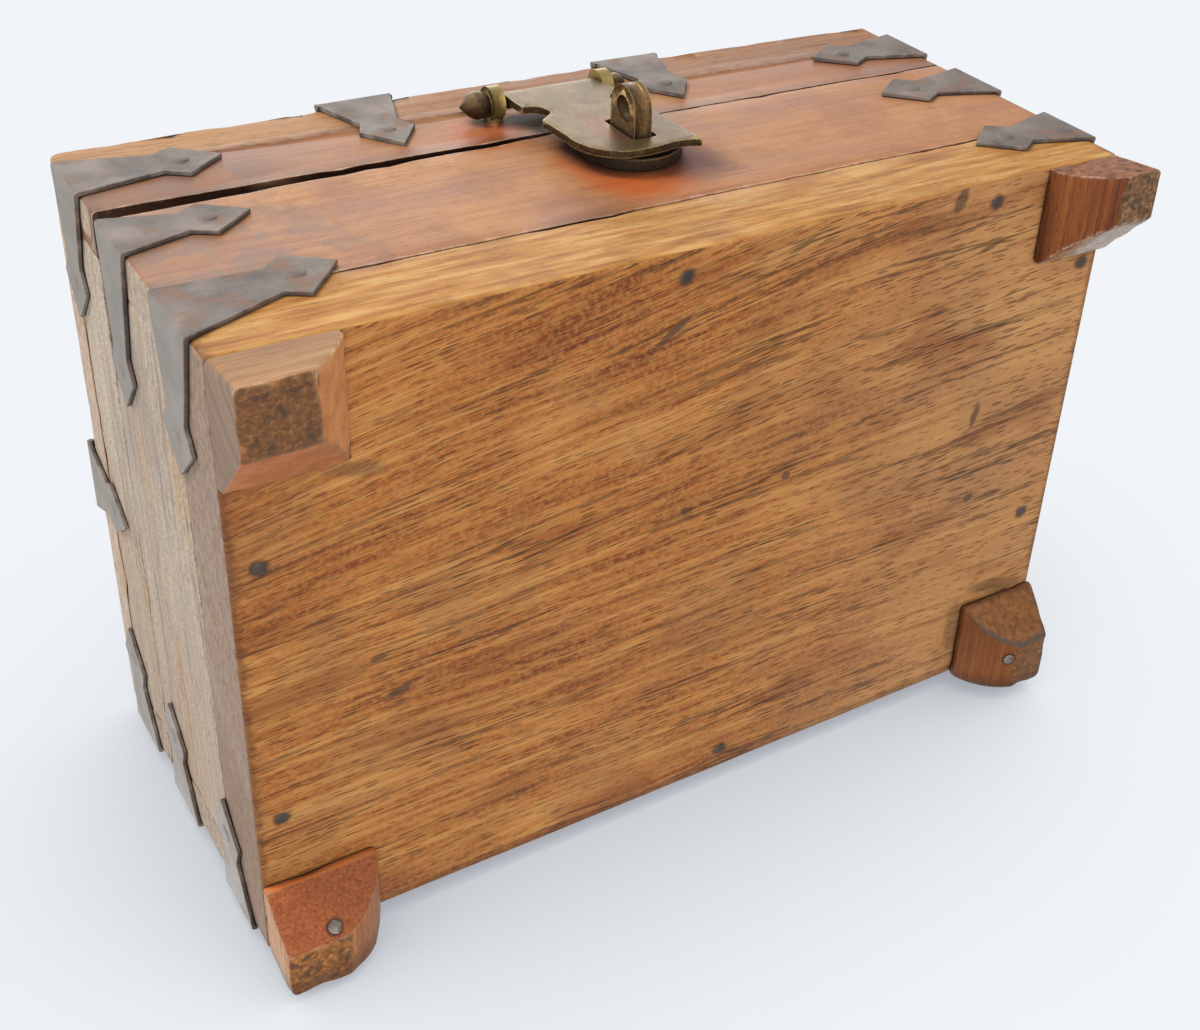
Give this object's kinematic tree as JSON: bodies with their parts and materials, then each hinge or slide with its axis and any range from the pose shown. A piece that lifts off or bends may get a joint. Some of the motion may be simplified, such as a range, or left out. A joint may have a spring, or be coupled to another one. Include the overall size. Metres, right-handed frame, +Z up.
{
  "type": "damchiya chest",
  "caption": "Small iron-bound wooden chest on four feet, with a lid on two strap hinges and a brass hasp that drops over a padlock lug.",
  "frame": {"origin": "on the ground, under the middle of the bounding box", "axes": "+X along the chest to its right end, +Y to the hinged back, so the hasp and lug face -Y, +Z up; the lid is closed and the hasp hangs over the lug"},
  "size_m": [0.2578, 0.1974, 0.1333],
  "materials": {
    "bottom_wood": "oiled hardwood, worn",
    "front_wood": "oiled hardwood with a soft sheen",
    "back_wood": "oiled hardwood, worn",
    "end_wood": "weathered dry hardwood",
    "lid_wood": "oiled hardwood, worn",
    "foot_wood": "oiled hardwood, worn edges",
    "strap_iron": "dark hand-cut sheet iron",
    "hinge_iron": "dark hand-cut sheet iron",
    "nail_iron": "dull worn iron",
    "washer_iron": "dull iron with light rust",
    "hasp_brass": "old cast brass, rubbed bright on its edges",
    "lock_brass": "old cast brass, darker"
  },
  "bodies": {
    "box": {"back_left_foot": "foot_wood", "back_left_lower_corner_strap": "strap_iron", "back_left_upper_corner_strap": "strap_iron", "back_panel": "back_wood", "back_right_foot": "foot_wood", "back_right_lower_corner_strap": "strap_iron", "back_right_upper_corner_strap": "strap_iron", "body_strap_nails": "nail_iron", "bottom_board": "bottom_wood", "bottom_board_nails": "nail_iron", "foot_nails": "nail_iron", "front_left_foot": "foot_wood", "front_left_lower_corner_strap": "strap_iron", "front_left_upper_corner_strap": "strap_iron", "front_panel": "front_wood", "front_right_foot": "foot_wood", "front_right_lower_corner_strap": "strap_iron", "front_right_upper_corner_strap": "strap_iron", "left_hinge_lower_leaf": "hinge_iron", "left_side": "end_wood", "lock_boss": "lock_brass", "lock_lug": "lock_brass", "lug_washer": "washer_iron", "right_hinge_lower_leaf": "hinge_iron", "right_side": "end_wood"},
    "lid": {"hasp_eye_washers": "washer_iron", "hasp_left_eye": "hasp_brass", "hasp_right_eye": "hasp_brass", "left_hinge_pin": "hinge_iron", "left_hinge_upper_leaf": "hinge_iron", "lid_back_left_corner_strap": "strap_iron", "lid_back_rail": "back_wood", "lid_back_right_corner_strap": "strap_iron", "lid_board": "lid_wood", "lid_board_nails": "nail_iron", "lid_front_left_corner_strap": "strap_iron", "lid_front_left_strap": "strap_iron", "lid_front_rail": "front_wood", "lid_front_right_corner_strap": "strap_iron", "lid_front_right_strap": "strap_iron", "lid_left_rail": "end_wood", "lid_left_strap": "strap_iron", "lid_right_rail": "end_wood", "lid_right_strap": "strap_iron", "lid_strap_nails": "nail_iron", "right_hinge_pin": "hinge_iron", "right_hinge_upper_leaf": "hinge_iron"},
    "hasp": {"hasp": "hasp_brass"}
  },
  "joints": [
    {"name": "lid_hinge", "type": "hinge", "parent": "box", "child": "lid", "pos_m": [0, 0.09602, 0.0917], "axis": [-1, 0, 0], "range_deg": [0, 180]},
    {"name": "hasp_hinge", "type": "hinge", "parent": "lid", "child": "hasp", "pos_m": [-0.0004, -0.08428, 0.1057], "axis": [-1, 0, 0], "range_deg": [0, 180]}
  ]
}
